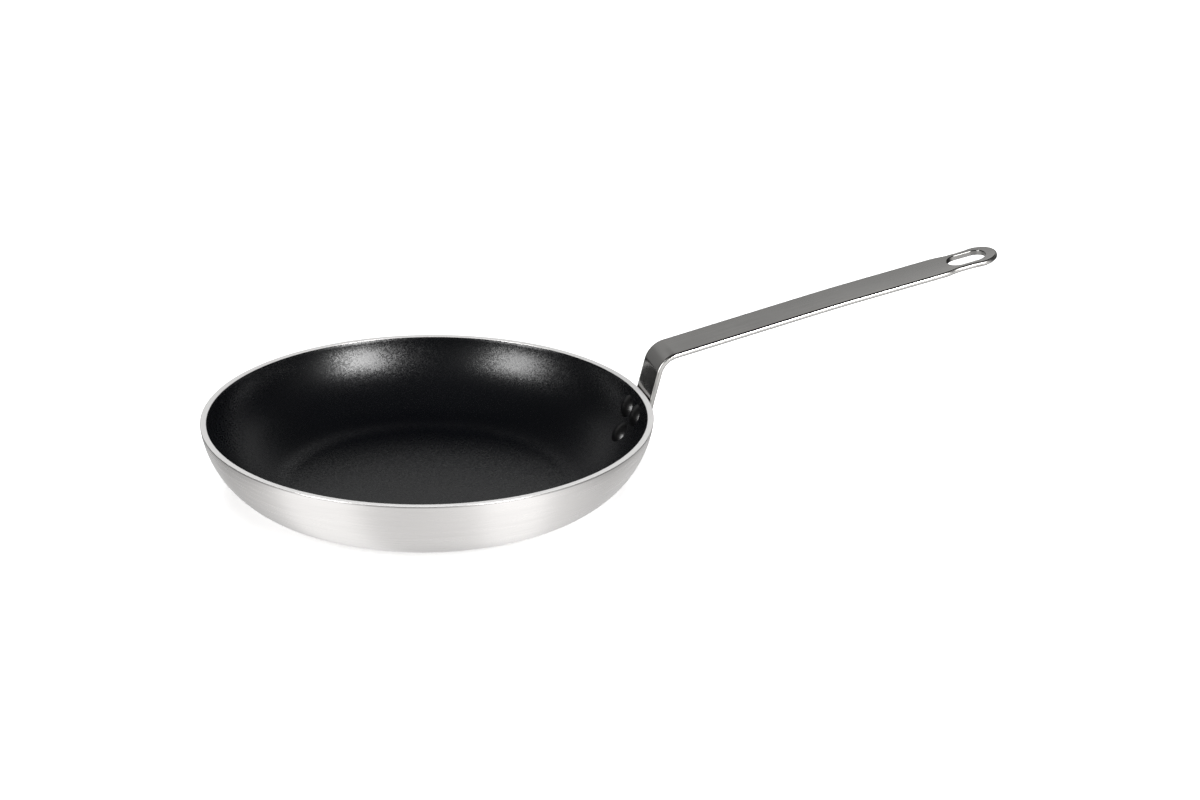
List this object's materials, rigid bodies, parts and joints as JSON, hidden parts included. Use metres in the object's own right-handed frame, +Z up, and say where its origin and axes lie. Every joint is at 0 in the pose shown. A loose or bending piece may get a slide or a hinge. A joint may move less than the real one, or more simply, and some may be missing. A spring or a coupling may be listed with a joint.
{
  "type": "omelette pan",
  "caption": "Shallow round non-stick frying pan with a curved wall and a flat bar handle riveted to its side, with a hanging slot in the tip.",
  "frame": {"origin": "centre of the flat underside of the base, which the pan stands on", "axes": "+Z up out of the pan's mouth, +X from the pan's centre out along the handle, +Y to the left of someone who looks along the handle from the pan"},
  "size_m": [0.4777, 0.26, 0.1091],
  "materials": {
    "turned_aluminium": "lathe-turned satin",
    "black_coating": "satin non-stick coating with a fine sparkle",
    "polished_steel": "smooth satin, long grain",
    "rivet_aluminium": "bare, as upset",
    "gloss_black_coat": "glossy black coating"
  },
  "bodies": {
    "root": {"pan_body": "turned_aluminium", "nonstick_coating": "black_coating", "handle": "polished_steel", "rivet_left": "rivet_aluminium", "rivet_right": "rivet_aluminium", "rivet_lower": "rivet_aluminium", "rivet_coat_left": "gloss_black_coat", "rivet_coat_right": "gloss_black_coat", "rivet_coat_lower": "gloss_black_coat"}
  },
  "joints": []
}
